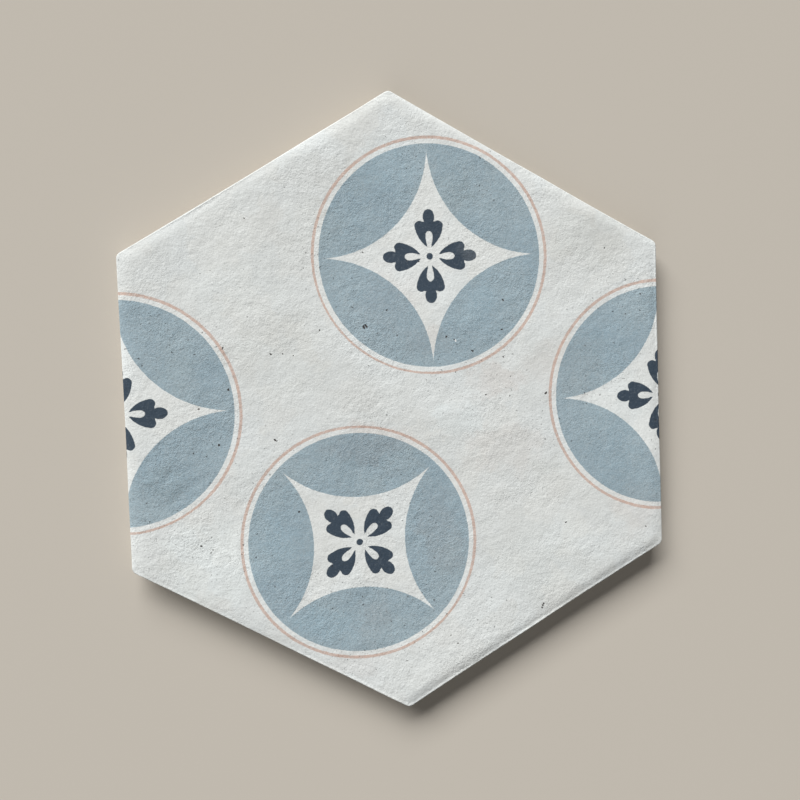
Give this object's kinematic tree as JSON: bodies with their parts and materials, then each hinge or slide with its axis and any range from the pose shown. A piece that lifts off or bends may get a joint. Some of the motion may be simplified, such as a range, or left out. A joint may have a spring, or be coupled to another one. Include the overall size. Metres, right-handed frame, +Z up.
{
  "type": "hexagon floor tile",
  "caption": "Hexagonal ceramic floor tile with a cushioned top edge, a set-back foot, a honeycomb back and a printed star and petal pattern.",
  "frame": {"origin": "centre of the bedding plane, under the middle of the tile", "axes": "+Z up through the wearing face, +Y from corner to corner, +X from flat to flat"},
  "size_m": [0.22, 0.253, 0.009],
  "materials": {
    "fired_tile": "matt off-white fired surface with a printed pattern in grey-blue, slate and a thin dusty pink ring"
  },
  "bodies": {
    "root": {"hexagon_tile": "fired_tile"}
  },
  "joints": []
}
